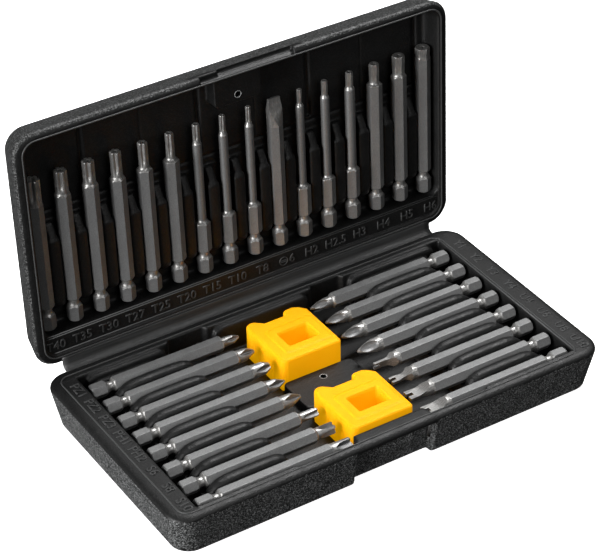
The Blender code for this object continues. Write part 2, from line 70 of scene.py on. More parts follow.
def joint_place(name):
    for joint in frame["joints"]:
        if joint["name"] == name:
            return Vector(joint["pos_m"])


def lid_frame():
    """Half frame of the lid: its y runs up the lid, its z out of the open side."""
    out = -mount_axis("lid_outside")
    x_axis = Vector((1, 0, 0))
    rows = Matrix((x_axis, out.cross(x_axis), out)).transposed().to_4x4()
    rows.translation = joint_place("lid_hinge")
    return rows


BASE_FRAME = Matrix.Identity(4)
LID_FRAME = lid_frame()


def node_box(node, half):
    """A CAD node's box in a half frame, in millimetres."""
    inverse = half.inverted()
    points = [inverse @ v.co / MM for v in frame["nodes"][node].data.vertices]
    low = Vector([min(p[i] for p in points) for i in range(3)])
    high = Vector([max(p[i] for p in points) for i in range(3)])
    return low, high


def node_middle(node, half):
    return [(a + b) / 2 for a, b in zip(*node_box(node, half))]


BASE_LOW, BASE_HIGH = node_box("case_base", BASE_FRAME)
LID_LOW, LID_HIGH = node_box("case_lid", LID_FRAME)
HALF_WIDTH = BASE_HIGH.x
RIM_Z = BASE_HIGH.z
FRONT_Y = BASE_LOW.y
BACK_Y = BASE_HIGH.y
CORNER = 10.0
BASE_DRAFT = 3.1
LID_DRAFT = 2.0

LEFT_BITS = ("bit_pozi_1", "bit_pozi_2", "bit_pozi_3", "bit_cross_1", "bit_cross_2",
             "bit_offset_cross_6", "bit_offset_cross_8", "bit_offset_cross_10")
RIGHT_BITS = ("bit_tri_1", "bit_tri_2", "bit_tri_3", "bit_tri_4",
              "bit_fork_4", "bit_fork_6", "bit_fork_8", "bit_fork_10")
STAR_SIZES = (40, 35, 30, 27, 25, 20, 15, 10, 8)
HEX_SIZES = ("2", "2_5", "3", "4", "5", "6")
LID_BITS = (tuple(f"bit_star_{size}" for size in STAR_SIZES) + ("bit_slot_6",)
            + tuple(f"bit_hex_{size}" for size in HEX_SIZES))


# ---------------------------------------------------------------- mesh helpers

def new_object(name, bm, half=BASE_FRAME, materials=()):
    """Turn a bmesh in millimetres into an object in metres, placed by its half frame."""
    bmesh.ops.recalc_face_normals(bm, faces=bm.faces)
    bmesh.ops.scale(bm, vec=(MM, MM, MM), verts=bm.verts)
    mesh = bpy.data.meshes.new(name)
    bm.to_mesh(mesh)
    bm.free()
    obj = bpy.data.objects.new(name, mesh)
    bpy.context.scene.collection.objects.link(obj)
    obj.matrix_world = half
    for mat in materials:
        mesh.materials.append(mat)
    return obj


def apply_modifiers(obj):
    bpy.context.view_layer.update()
    graph = bpy.context.evaluated_depsgraph_get()
    mesh = bpy.data.meshes.new_from_object(obj.evaluated_get(graph))
    mesh.name = obj.name
    obj.modifiers.clear()
    obj.data = mesh


def cut(obj, bm, operation="DIFFERENCE"):
    """Cut a bmesh, in the object's own frame, out of an object."""
    tool = new_object("cutter", bm, obj.matrix_world)
    mod = obj.modifiers.new("cut", "BOOLEAN")
    mod.operation = operation
    mod.object = tool
    mod.solver = "EXACT"
    apply_modifiers(obj)
    bpy.data.objects.remove(tool, do_unlink=True)


def soften(obj, pitch, rounds, most_faces):
    """Fuse an object's overlapping solids into one skin with soft moulded edges."""
    remesh = obj.modifiers.new("skin", "REMESH")
    remesh.mode = "VOXEL"
    remesh.voxel_size = pitch * MM
    smooth = obj.modifiers.new("soft", "SMOOTH")
    smooth.factor = 0.5
    smooth.iterations = rounds
    apply_modifiers(obj)
    faces = 2 * len(obj.data.polygons)
    if faces > most_faces:
        thin = obj.modifiers.new("thin", "DECIMATE")
        thin.ratio = most_faces / faces
        apply_modifiers(obj)
    obj.data.shade_smooth()
    even = obj.modifiers.new("even", "WEIGHTED_NORMAL")
    even.weight = 80
    apply_modifiers(obj)


def loft(bm, rings):
    """Join rings of equal length into one closed solid."""
    rows = [[bm.verts.new(p) for p in ring] for ring in rings]
    for low, high in zip(rows, rows[1:]):
        for i in range(len(low)):
            j = (i + 1) % len(low)
            bm.faces.new((low[i], low[j], high[j], high[i]))
    bm.faces.new(list(reversed(rows[0])))
    bm.faces.new(rows[-1])


def stack(bm, levels):
    """Loft flat outlines, given as (z, outline) pairs."""
    loft(bm, [[(x, y, z) for x, y in outline] for z, outline in levels])


def prism(bm, outline, z0, z1):
    stack(bm, ((z0, outline), (z1, outline)))


def extrude_x(bm, profile, x0, x1):
    """A solid of one (y, z) profile from x0 to x1."""
    loft(bm, [[(x, y, z) for y, z in profile] for x in (x0, x1)])


def box(bm, xs, ys, zs):
    prism(bm, [(xs[0], ys[0]), (xs[1], ys[0]), (xs[1], ys[1]), (xs[0], ys[1])], *zs)


def rounded_rectangle(x0, x1, y0, y1, radius, steps=10):
    """Anticlockwise outline with arcs at its corners."""
    points = []
    for x, y, start in ((x0, y0, 180), (x1, y0, 270), (x1, y1, 0), (x0, y1, 90)):
        cx = x + radius if x == x0 else x - radius
        cy = y + radius if y == y0 else y - radius
        for i in range(steps + 1):
            angle = math.radians(start + 90 * i / steps)
            points.append((cx + radius * math.cos(angle), cy + radius * math.sin(angle)))
    return points


def grown_rectangle(sides, grow, radius, steps):
    x0, x1, y0, y1 = sides
    return rounded_rectangle(x0 - grow, x1 + grow, y0 - grow, y1 + grow, radius, steps)


def circle(centre, radius, sides=32):
    turns = [2 * math.pi * i / sides for i in range(sides)]
    return [(centre[0] + radius * math.cos(a), centre[1] + radius * math.sin(a)) for a in turns]


def cylinder(bm, centre, radius, z0, z1):
    prism(bm, circle(centre, radius), z0, z1)


def cut_boxes(obj, *boxes):
    """Cut boxes, given as their x, y and z spans, out of an object."""
    tool = bmesh.new()
    for spans in boxes:
        box(tool, *spans)
    cut(obj, tool)


def add_solids(obj, *builders):
    """Add loose solids, drawn in millimetres by each builder, to an object's mesh."""
    bm = bmesh.new()
    bm.from_mesh(obj.data)
    bmesh.ops.scale(bm, vec=(1 / MM,) * 3, verts=bm.verts)
    for build in builders:
        build(bm)
    bmesh.ops.scale(bm, vec=(MM,) * 3, verts=bm.verts)
    bm.to_mesh(obj.data)
    bm.free()


def bead(bm, path, radius, closed=False, sides=8):
    """A thin raised ridge: a tube along a path of points in space."""
    rings = []
    count = len(path)
    for i, point in enumerate(path):
        before = path[(i - 1) % count] if closed or i else point
        after = path[(i + 1) % count] if closed or i < count - 1 else point
        along = (Vector(after) - Vector(before)).normalized()
        side = along.cross(Vector((0, 0, 1))).normalized()
        up = side.cross(along)
        turns = [2 * math.pi * k / sides for k in range(sides)]
        rings.append([bm.verts.new(Vector(point) + radius * (math.cos(t) * side + math.sin(t) * up))
                      for t in turns])
    pairs = list(zip(rings, rings[1:]))
    if closed:
        pairs.append((rings[-1], rings[0]))
    for low, high in pairs:
        for k in range(sides):
            m = (k + 1) % sides
            bm.faces.new((low[k], low[m], high[m], high[k]))
    if not closed:
        bm.faces.new(list(reversed(rings[0])))
        bm.faces.new(rings[-1])


def smooth_step(t):
    t = min(max(t, 0.0), 1.0)
    return t * t * (3 - 2 * t)


def between(pairs, z):
    """Straight-line interpolation in a list of (z, value) pairs."""
    if z <= pairs[0][0]:
        return pairs[0][1]
    for (z0, v0), (z1, v1) in zip(pairs, pairs[1:]):
        if z <= z1:
            return v0 + (v1 - v0) * (z - z0) / (z1 - z0)
    return pairs[-1][1]


def soft_min(a, b, width):
    h = max(width - abs(a - b), 0.0) / width
    return min(a, b) - h * h * width / 4


# ---------------------------------------------------------------- materials

class Tree:
    """Short calls for building one material's nodes."""

    def __init__(self, name):
        self.material = bpy.data.materials.new(name)
        self.material.use_nodes = True
        self.nodes = self.material.node_tree.nodes
        self.links = self.material.node_tree.links
        self.shader = self.nodes["Principled BSDF"]
        self.place = self.nodes.new("ShaderNodeTexCoord").outputs["Object"]

    def noise(self, scale, detail=2.0, rough=0.5, stretch=None):
        node = self.nodes.new("ShaderNodeTexNoise")
        node.inputs["Scale"].default_value = scale
        node.inputs["Detail"].default_value = detail
        node.inputs["Roughness"].default_value = rough
        self.links.new(self.stretched(stretch), node.inputs["Vector"])
        return node.outputs["Fac"]

    def stretched(self, stretch):
        if not stretch:
            return self.place
        node = self.nodes.new("ShaderNodeMapping")
        node.inputs["Scale"].default_value = stretch
        self.links.new(self.place, node.inputs["Vector"])
        return node.outputs["Vector"]

    def pebbles(self, scale):
        node = self.nodes.new("ShaderNodeTexVoronoi")
        node.feature = "SMOOTH_F1"
        node.inputs["Scale"].default_value = scale
        self.links.new(self.place, node.inputs["Vector"])
        return node.outputs["Distance"]

    def spread(self, value, low, high, out_low, out_high):
        """Map value from low..high to out_low..out_high, clamped."""
        node = self.nodes.new("ShaderNodeMapRange")
        for name, number in (("From Min", low), ("From Max", high),
                             ("To Min", out_low), ("To Max", out_high)):
            node.inputs[name].default_value = number
        self.links.new(value, node.inputs["Value"])
        return node.outputs["Result"]

    def mix(self, factor, a, b):
        node = self.nodes.new("ShaderNodeMix")
        node.data_type = "RGBA"
        self.links.new(factor, node.inputs["Factor"])
        for socket, value in ((node.inputs[6], a), (node.inputs[7], b)):
            if isinstance(value, tuple):
                socket.default_value = value
            else:
                self.links.new(value, socket)
        return node.outputs[2]

    def edges(self, low, high):
        """Near 1 on convex edges, 0 elsewhere."""
        node = self.nodes.new("ShaderNodeNewGeometry")
        return self.spread(node.outputs["Pointiness"], low, high, 0.0, 1.0)

    def bump(self, height, strength, distance_mm, after=None):
        node = self.nodes.new("ShaderNodeBump")
        node.inputs["Strength"].default_value = strength
        node.inputs["Distance"].default_value = distance_mm * MM
        self.links.new(height, node.inputs["Height"])
        if after:
            self.links.new(after, node.inputs["Normal"])
        return node.outputs["Normal"]

    def wire(self, **sockets):
        for name, value in sockets.items():
            socket = self.shader.inputs[name.replace("_", " ")]
            if isinstance(value, (float, tuple)):
                socket.default_value = value
            else:
                self.links.new(value, socket)
        return self.material


def grey(value):
    return (value, value * 1.02, value * 1.02, 1.0)


def case_material(name, dark, light, pebble_mm, pebble_depth, roughness, glint_mm, glint_most):
    """Black polypropylene with the mould's pebble grain, light specks painted as glints off that grain, and convex
    edges lightened as a painted edge highlight.
    """
    t = Tree(name)
    patches = t.spread(t.noise(45.0, 4.0), 0.35, 0.65, 0.0, 1.0)
    body = t.mix(patches, grey(dark * 0.88), grey(dark * 1.12))
    # Painted glints: light specks in the colour stand in for the shine off the pebble grain.
    painted_glints = t.spread(t.noise(1.0 / (glint_mm * MM), 2.0), 0.47, 0.66, 0.0, glint_most)
    body = t.mix(painted_glints, body, grey(light))
    # Painted highlight: convex edges lightened towards the glint colour.
    colour = t.mix(t.edges(0.53, 0.60), body, grey(light * 0.9))
    fine = t.bump(t.noise(4200.0, 2.0), 0.35, 0.06)
    coarse = t.bump(t.pebbles(1.0 / (pebble_mm * MM)), 0.9, pebble_depth, fine)
    rough = t.spread(t.noise(220.0, 3.0), 0.3, 0.7, roughness - 0.06, roughness + 0.06)
    t.shader.inputs["Specular IOR Level"].default_value = 0.27
    return t.wire(Base_Color=colour, Roughness=rough, Normal=coarse)


def steel_material(name, dark, light, roughness, grain, metallic, streaks=None):
    """Steel with a blasted grain, or with fine grinding lines along `streaks`."""
    t = Tree(name)
    tone = t.spread(t.noise(2600.0, 3.0, 0.6, streaks), 0.35, 0.68, 0.0, 1.0)
    colour = t.mix(tone, dark, light)
    stains = t.spread(t.noise(120.0, 3.0), 0.45, 0.75, 0.0, 0.35)
    colour = t.mix(stains, colour, tuple(c * 0.72 for c in dark[:3]) + (1.0,))
    rough = t.spread(t.noise(700.0, 2.0), 0.3, 0.7, roughness - 0.07, roughness + 0.07)
    normal = t.bump(t.noise(5200.0, 2.0, 0.5, streaks), grain, 0.04)
    return t.wire(Base_Color=colour, Roughness=rough, Normal=normal, Metallic=metallic)


def yellow_material():
    """Moulded yellow plastic, a little translucent, with a satin skin and a painted orange glow that lifts its
    shaded sides.
    """
    t = Tree("yellow_plastic")
    tone = t.spread(t.noise(90.0, 3.0), 0.3, 0.7, 0.0, 1.0)
    colour = t.mix(tone, (0.66, 0.25, 0.003, 1.0), (0.70, 0.28, 0.005, 1.0))
    rough = t.spread(t.noise(420.0, 3.0), 0.3, 0.7, 0.50, 0.62)
    normal = t.bump(t.noise(1300.0, 3.0), 0.25, 0.05)
    t.shader.inputs["Subsurface Weight"].default_value = 0.8
    t.shader.inputs["Subsurface Radius"].default_value = (0.008, 0.004, 0.0008)
    t.shader.inputs["Specular IOR Level"].default_value = 0.08
    # Painted light: an orange emission glow brightens the block's sides where they fall in shade.
    t.shader.inputs["Emission Color"].default_value = (1.0, 0.49, 0.0, 1.0)
    t.shader.inputs["Emission Strength"].default_value = 0.42
    return t.wire(Base_Color=colour, Roughness=rough, Normal=normal)


def film_material():
    """The thin hinge web: stretched plastic, greyer than the case, with lines along x."""
    t = Tree("hinge_film")
    lines = t.noise(900.0, 3.0, 0.6, (0.04, 1.0, 1.0))
    colour = t.mix(t.spread(lines, 0.35, 0.65, 0.0, 1.0), grey(0.010), grey(0.026))
    rough = t.spread(t.noise(500.0), 0.3, 0.7, 0.45, 0.6)
    return t.wire(Base_Color=colour, Roughness=rough, Normal=t.bump(lines, 0.5, 0.08))


def burr_material():
    """Torn, whitened plastic."""
    t = Tree("torn_plastic")
    tone = t.spread(t.noise(1800.0, 3.0), 0.35, 0.65, 0.0, 1.0)
    colour = t.mix(tone, grey(0.14), grey(0.4))
    return t.wire(Base_Color=colour, Roughness=0.7, Normal=t.bump(tone, 0.6, 0.1))


def magnet_material():
    t = Tree("nickel")
    rough = t.spread(t.noise(900.0, 2.0), 0.3, 0.7, 0.16, 0.3)
    return t.wire(Base_Color=(0.55, 0.54, 0.5, 1.0), Roughness=rough, Metallic=1.0)


def floor_material():
    t = Tree("floor")
    tone = t.noise(6.0, 2.0)
    colour = t.mix(t.spread(tone, 0.3, 0.7, 0.0, 1.0), (0.93, 0.93, 0.93, 1.0), (0.95, 0.95, 0.95, 1.0))
    t.shader.inputs["Emission Color"].default_value = (1.0, 1.0, 1.0, 1.0)
    t.shader.inputs["Emission Strength"].default_value = 0.9
    return t.wire(Base_Color=colour, Roughness=0.9)


# In these rows the light value is the colour of the painted glints and edge highlights.
OUTER = case_material("case_outer", 0.010, 0.250, 1.00, 0.42, 0.50, 0.62, 0.75)
# The lid's outside is the same pebbled plastic as the base's; this darker copy, with dimmer painted glints, is
# painted shade.
SHADED_LID_OUTER = case_material("case_lid_outer_painted_shade", 0.008, 0.100, 1.00, 0.38, 0.50, 0.62, 0.75)
INNER = case_material("case_inner", 0.003, 0.014, 0.70, 0.12, 0.50, 0.60, 0.45)
# Raised codes, the slot sign and the rim lines are the same plastic as the case; this lighter copy is a painted
# highlight that makes them stand out.
LIT_RAISED_PLASTIC = case_material("case_raised_painted_highlight", 0.022, 0.055, 0.70, 0.05, 0.46, 0.60, 0.45)
BLASTED = steel_material("steel_blasted", (0.13, 0.131, 0.131, 1.0), (0.20, 0.201, 0.20, 1.0),
                         0.48, 0.5, 0.6)
GROUND = steel_material("steel_ground", (0.19, 0.189, 0.186, 1.0), (0.36, 0.353, 0.34, 1.0),
                        0.42, 0.25, 0.75, (1.0, 1.0, 0.15))
YELLOW = yellow_material()
FILM = film_material()
BURR = burr_material()
NICKEL = magnet_material()


# ---------------------------------------------------------------- case halves

CASE_PITCH = 0.5
CASE_FACES = 190_000
TRENCH_Z = 7.0
CAVITY_HALF = 95.5
STRIP_Z = RIM_Z - 0.55
BAND_DROP = 0.4
BIT_FLATS = 6.35
FINGER_WIDTH = 5.4
LID_FLOOR_Z = -11.2
BED_GAP = 0.3
BLOW_HOLES = {"base": (1.7, 3.8), "lid": (0.4, 101.6)}
BLOW_HOLE_RADIUS = 1.45


def tray_body(bm, ys, z_rim, z_back, draft):
    """The outside of a half: rolled rim, drafted walls, soft back edge."""
    up = 1 if z_rim > z_back else -1
    stations = [(BAND_DROP, 5.2), (BAND_DROP + 0.08, 3.2), (BAND_DROP + 0.3, 2.0), (BAND_DROP + 0.75, 1.0),
                (BAND_DROP + 1.4, 0.35), (BAND_DROP + 2.3, 0.0)]
    rings = []
    depth = abs(z_rim - z_back)
    for drop, shift in stations:
        rings.append((z_rim - drop * up, shift))
    fillet = 2.4
    for i in range(9):
        turn = math.radians(90 * i / 8)
        drop = depth - fillet * (1 - math.sin(turn))
        rings.append((z_rim - drop * up, draft + fillet * (1 - math.cos(turn))))
    solid = []
    for z, shift in rings:
        outline = rounded_rectangle(-HALF_WIDTH + shift, HALF_WIDTH - shift, ys[0] + shift, ys[1] - shift,
                                    max(CORNER - 0.35 * shift, 4.0), 14)
        solid.append([(x, y, z) for x, y in outline])
    loft(bm, solid)


def stepped_outline(grow=0.0):
    """The base cavity's outline, with the steps of its front and back lips."""
    half = CAVITY_HALF + grow
    front = ((-half, -53.1), (-47.6, -53.1), (-46.4, -54.3), (-19.2, -54.3), (-17.6, -49.3),
             (17.6, -49.3), (19.2, -54.3), (46.4, -54.3), (48.2, -53.1), (half, -53.1))
    back = ((half, 50.3), (42.6, 50.3), (41.0, 52.5), (26.4, 52.5), (24.8, 50.3), (-29.8, 50.3),
            (-31.4, 52.5), (-48.6, 52.5), (-50.2, 50.3), (-half, 50.3))
    return [(x, y - grow) for x, y in front] + [(x, y + grow) for x, y in back]


def finger(bm, spine, half_width, floor_z, place, roundness=1.6):
    """A moulded rib: a spine of (along, top z) points with a rounded top across its width.

    place(along, across, z) gives the point.
    """
    rings = []
    steps = 8
    for i in range(steps + 1):
        t = -1 + 2 * i / steps
        drop = roundness * (1 - math.sqrt(max(0.0, 1 - t * t * 0.999)))
        pull = 0.5 * drop
        first, last = spine[0][0], spine[-1][0]
        ring = []
        for along, z in spine:
            inward = pull * (1 if along < (first + last) / 2 else -1) * (1 if last > first else -1)
            ring.append(place(along + inward, t * half_width, max(z - drop, floor_z + 0.2)))
        for along in (last, first):
            ring.append(place(along, t * half_width, floor_z))
        rings.append(ring)
    loft(bm, rings)


def base_ribs(bm):
    """Beds under the bits and rounded ribs between them."""
    bed_top = node_box(LEFT_BITS[0], BASE_FRAME)[0].z - BED_GAP
    for side in (-1, 1):
        xs = sorted((side * 46.0, side * 86.0))
        box(bm, xs, (-52.0, 46.0), (TRENCH_Z - 1, bed_top))
    spine = ((45.6, bed_top - 2.5), (46.3, 18.4), (48.0, 20.4), (51.0, 21.6), (56.0, 22.0),
             (66.0, 22.1), (76.0, 21.9), (79.5, 21.2), (82.0, 19.8), (84.6, 17.4), (86.2, bed_top - 2.5))
    rows = [node_middle(name, BASE_FRAME)[1] for name in LEFT_BITS]
    for side in (-1, 1):
        for one, two in zip(rows, rows[1:]):
            middle = (one + two) / 2
            finger(bm, spine, FINGER_WIDTH / 2, TRENCH_Z - 1,
                   lambda along, across, z, s=side, m=middle: (s * along, m + across, z))


def rear_ledges(bm):
    """The long rounded ledges between the last bit row and the hinge."""
    for x0, x1 in ((-92.0, -52.0), (-27.5, 22.5), (44.5, 92.0)):
        spine = ((x0, 17.0), (x0 + 0.8, 19.4), (x0 + 2.6, 20.6), (x0 + 5.0, 21.0),
                 (x1 - 5.0, 21.0), (x1 - 2.6, 20.6), (x1 - 0.8, 19.4), (x1, 17.0))
        finger(bm, spine, 1.5, TRENCH_Z - 1, lambda along, across, z: (along, 49.2 + across, z), 1.2)
    for x0, x1 in ((-90.0, -58.0), (48.0, 88.0)):
        spine = ((x0, 15.0), (x0 + 1.0, 17.2), (x0 + 4.0, 18.0),
                 (x1 - 4.0, 18.0), (x1 - 1.0, 17.2), (x1, 15.0))
        finger(bm, spine, 0.8, TRENCH_Z - 1, lambda along, across, z: (along, 46.9 + across, z), 0.7)


def front_lips(bm):
    """The raised fences on the front lip, outside the latch."""
    for x0, x1 in ((-95.5, -47.8), (48.2, 95.5)):
        fence = [(-53.9, 17.0), (-53.9, RIM_Z - 0.35), (-53.7, RIM_Z - 0.12), (-53.2, RIM_Z - 0.05),
                 (-52.8, RIM_Z - 0.2), (-52.75, RIM_Z - 0.6), (-52.9, 17.0)]
        extrude_x(bm, fence, x0, x1)


def base_pad(bm):
    front_gap = magnetiser_box("rear")[0].y - 0.7
    prism(bm, rounded_rectangle(-16.4, 19.5, -12.0, front_gap, 2.5, 6), 6.0, 11.1)


def magnetiser_box(place):
    low, _ = node_box(f"magnetiser_{place}_cover", BASE_FRAME)
    _, high = node_box(f"magnetiser_{place}_body", BASE_FRAME)
    return low, high


def make_base():
    bm = bmesh.new()
    tray_body(bm, (FRONT_Y, BACK_Y), RIM_Z, BASE_LOW.z, BASE_DRAFT)
    base = new_object("case_base_shell", bm)

    tool = bmesh.new()
    levels = ((TRENCH_Z, -0.9), (TRENCH_Z + 0.8, -0.45), (14.0, -0.2), (RIM_Z - 1.0, 0.0),
              (RIM_Z - 0.45, 0.35), (RIM_Z + 1, 0.9))
    stack(tool, [(z, stepped_outline(grow)) for z, grow in levels])
    cut(base, tool)
    cut_boxes(base, ((-103.2, -94.0), (-51.8, 50.6), (STRIP_Z, RIM_Z + 1)),
              ((97.4, 103.6), (-51.8, 50.6), (STRIP_Z + 0.15, RIM_Z + 1)))
    cut_boxes(base, *[((low.x - 0.5, high.x + 0.5), (low.y - 0.5, high.y + 0.5), (low.z - 0.3, RIM_Z + 1))
                      for low, high in map(magnetiser_box, ("rear", "front"))])

    tool = bmesh.new()
    profile = [(-61.0, -1.0), (-50.6, -1.0), (-52.2, 9.0), (-53.2, 16.6), (-54.2, 17.8),
               (-55.4, 18.4), (-61.0, 18.7)]
    extrude_x(tool, profile, -21.0, 19.0)
    cut(base, tool)
    tool = bmesh.new()
    rings = []
    for y, shrink in ((-56.0, -0.4), (-52.2, 0.0), (-50.9, 0.8)):
        outline = rounded_rectangle(-12.0 + shrink, 10.5 - shrink, 9.4 + shrink, 15.4 - shrink, 2.0, 6)
        rings.append([(x, y, z) for x, z in outline])
    loft(tool, rings)
    cut(base, tool)

    add_solids(base, base_ribs, rear_ledges, front_lips, base_pad)
    soften(base, CASE_PITCH, 3, CASE_FACES)
    tool = bmesh.new()
    cylinder(tool, BLOW_HOLES["base"], BLOW_HOLE_RADIUS, 8.0, 12.5)
    cut(base, tool)
    return base


def lid_blocks(bm):
    """The bed under the lid's bits, and a stepped block between each two."""
    bed_top = node_box(LID_BITS[0], LID_FRAME)[0].z - BED_GAP
    foot = LID_FLOOR_Z - 0.8
    box(bm, (-103.0, 103.0), (20.0, 68.0), (foot, bed_top))
    columns = [node_middle(name, LID_FRAME)[0] for name in LID_BITS]
    block = ((24.6, bed_top - 1), (25.2, -7.8), (26.6, -6.3), (29.0, -5.45), (33.0, -5.2), (59.6, -5.2),
             (60.4, -5.6), (60.9, -6.5), (61.1, bed_top - 1))
    tongue = ((50.0, -5.6), (59.8, -5.6), (61.0, -6.0), (66.8, -8.9), (67.6, -9.7), (68.0, bed_top - 1))
    for one, two in zip(columns, columns[1:]):
        middle = (one + two) / 2
        for spine, half_width, roundness in ((block, 2.8, 0.7), (tongue, 2.0, 0.3)):
            finger(bm, spine, half_width, foot,
                   lambda along, across, z, m=middle: (m + across, along, z), roundness)


def lid_pad(bm):
    prism(bm, rounded_rectangle(-11.2, 12.0, 97.6, 113.0, 2.2, 6), LID_FLOOR_Z - 0.8, -4.0)


def make_lid():
    bm = bmesh.new()
    tray_body(bm, (LID_LOW.y, LID_HIGH.y), LID_HIGH.z, LID_LOW.z, LID_DRAFT)
    lid = new_object("case_lid_shell", bm, LID_FRAME)

    tool = bmesh.new()
    levels = ((LID_FLOOR_Z, 101.2, 17.0, 110.6, 4.0), (-10.4, 102.0, 16.2, 111.2, 4.5),
              (-8.8, 102.5, 15.8, 111.6, 4.8), (-1.6, 103.2, 15.6, 112.2, 5.0),
              (-0.9, 103.5, 15.6, 112.6, 5.2), (1.0, 105.0, 15.6, 113.6, 5.6))
    stack(tool, [(z, rounded_rectangle(-half, half, y0, y1, radius, 8))
                 for z, half, y0, y1, radius in levels])
    cut(lid, tool)
    tool = bmesh.new()
    levels = ((-1.6, 0.0), (-0.8, 0.3), (1.0, 1.6))
    stack(tool, [(z, rounded_rectangle(-103.2 - grow, 103.2 + grow, 6.6 - grow, 24.0, 6.0, 8))
                 for z, grow in levels])
    cut(lid, tool)
    boxes = [((x - 1.2, x + 1.2), (74.0, 113.0), (LID_FLOOR_Z - 1.5, LID_FLOOR_Z + 0.5))
             for x in (-73.0, -16.0, 40.0, 97.0)]
    boxes += [((x - 0.5, x + 0.5), (74.0, 113.0), (LID_FLOOR_Z - 0.35, LID_FLOOR_Z + 0.5))
              for x in (-44.5, 12.5, 68.0)]
    cut_boxes(lid, *boxes, ((-103.0, 103.0), (71.6, 73.2), (LID_FLOOR_Z - 0.8, LID_FLOOR_Z + 0.5)))
    cut_boxes(lid, ((-9.5, 28.5), (113.9, 118.0), (-5.0, -3.1)))
    cut_boxes(lid, ((-19.0, 28.0), (113.2, 118.0), (-3.2, 1.0)))

    add_solids(lid, lid_blocks, lid_pad)
    soften(lid, CASE_PITCH, 3, CASE_FACES)
    tool = bmesh.new()
    cylinder(tool, BLOW_HOLES["lid"], BLOW_HOLE_RADIUS, -7.0, -2.0)
    cut(lid, tool)
    return lid


def dress_half(half_object, outer_test, outer_material):
    """Give the pebbled mould finish to the outside and the smooth one to the inside."""
    mesh = half_object.data
    mesh.materials.clear()
    mesh.materials.append(INNER)
    mesh.materials.append(outer_material)
    for face in mesh.polygons:
        face.material_index = 1 if outer_test(face.center / MM) else 0


def beyond(at, half_width, y0, y1, radius):
    """How far a point lies outside a rounded rectangle; negative inside."""
    dx = abs(at.x) - half_width + radius
    dy = abs(at.y - (y0 + y1) / 2) - (y1 - y0) / 2 + radius
    return math.hypot(max(dx, 0.0), max(dy, 0.0)) + min(max(dx, dy), 0.0) - radius


def base_is_outer(at):
    draft = BASE_DRAFT * (1 - at.z / RIM_Z)
    in_recess = -21.5 < at.x < 19.5 and at.y < 0
    past_wall = beyond(at, HALF_WIDTH, FRONT_Y, BACK_Y, CORNER) > (-9.0 if in_recess else -1.1) - draft
    return at.z < 2.0 or past_wall and at.z < RIM_Z - (4.4 if in_recess else 2.4)


def lid_is_outer(at):
    draft = LID_DRAFT * at.z / LID_LOW.z
    by_latch = -24.0 < at.x < 33.0 and at.y > 100
    past_wall = beyond(at, HALF_WIDTH, LID_LOW.y, LID_HIGH.y, CORNER) > -1.6 - draft
    return at.z < -13.4 or past_wall and at.z < (-5.4 if by_latch else -1.3)


# ---------------------------------------------------------------- raised lines and codes

CODE_HEIGHT = 4.4
CODE_LINE_Y = 10.9
CODE_LEDGE_Z = -1.5


def code_text(body, turn, at):
    """A raised moulded code as a mesh: centred on `at`, turned about the half's z axis."""
    curve = bpy.data.curves.new("code", "FONT")
    curve.body = body
    curve.size = CODE_HEIGHT * 1.38 * MM
    curve.align_x = "CENTER"
    curve.align_y = "CENTER"
    curve.extrude = 0.30 * MM
    curve.offset = -0.07 * MM
    curve.bevel_depth = 0.09 * MM
    curve.resolution_u = 3
    obj = bpy.data.objects.new("code", curve)
    bpy.context.scene.collection.objects.link(obj)
    bpy.context.view_layer.update()
    mesh = bpy.data.meshes.new_from_object(obj.evaluated_get(bpy.context.evaluated_depsgraph_get()))
    bpy.data.objects.remove(obj, do_unlink=True)
    place = Matrix.Translation(Vector(at) * MM) @ Matrix.Rotation(math.radians(turn), 4, "Z")
    mesh.transform(place)
    return mesh


def joined(name, meshes, half, mat):
    bm = bmesh.new()
    for mesh in meshes:
        bm.from_mesh(mesh)
    result = bpy.data.meshes.new(name)
    bm.to_mesh(result)
    bm.free()
    result.materials.append(mat)
    obj = bpy.data.objects.new(name, result)
    bpy.context.scene.collection.objects.link(obj)
    obj.matrix_world = half
    return obj


LEFT_CODES = ("PZ1", "PZ2", "PZ3", "PH1", "PH2", "S6", "S8", "S10")
RIGHT_CODES = ("Y1", "Y2", "Y3", "Y4", "U4", "U6", "U8", "U10")
LID_CODES = tuple(f"T{size}" for size in STAR_SIZES) + ("⊖", "H2", "H2.5", "H3", "H4", "H5", "H6")


def base_codes():
    meshes = []
    for names, codes, x in ((LEFT_BITS, LEFT_CODES, -99.4), (RIGHT_BITS, RIGHT_CODES, 101.5)):
        for name, code in zip(names, codes):
            row_y = node_middle(name, BASE_FRAME)[1]
            meshes.append(code_text(code, -90, (x, row_y, STRIP_Z + 0.1)))
    # The codes take the lighter plastic: a painted highlight.
    return joined("base_codes", meshes, BASE_FRAME, LIT_RAISED_PLASTIC)


def lid_codes():
    meshes = []
    for name, code in zip(LID_BITS, LID_CODES):
        x = node_middle(name, LID_FRAME)[0]
        if name == "bit_slot_6":
            x, code = x + 2.6, "6"
        meshes.append(code_text(code, 0, (x, CODE_LINE_Y, CODE_LEDGE_Z)))
    # The codes take the lighter plastic: a painted highlight.
    return joined("lid_codes", meshes, LID_FRAME, LIT_RAISED_PLASTIC)


def slot_symbol():
    """The round slot-screw sign beside the flat blade's size."""
    x, y, z = node_middle("bit_slot_6", LID_FRAME)[0] - 1.8, CODE_LINE_Y, CODE_LEDGE_Z
    bm = bmesh.new()
    bead(bm, [(*point, z) for point in circle((x, y), 2.1)], 0.22, True)
    for dy in (-0.4, 0.4):
        bead(bm, [(x - 1.9, y + dy, z), (x + 1.9, y + dy, z)], 0.2)
    # The sign takes the lighter plastic: a painted highlight.
    return new_object("slot_symbol", bm, LID_FRAME, (LIT_RAISED_PLASTIC,))


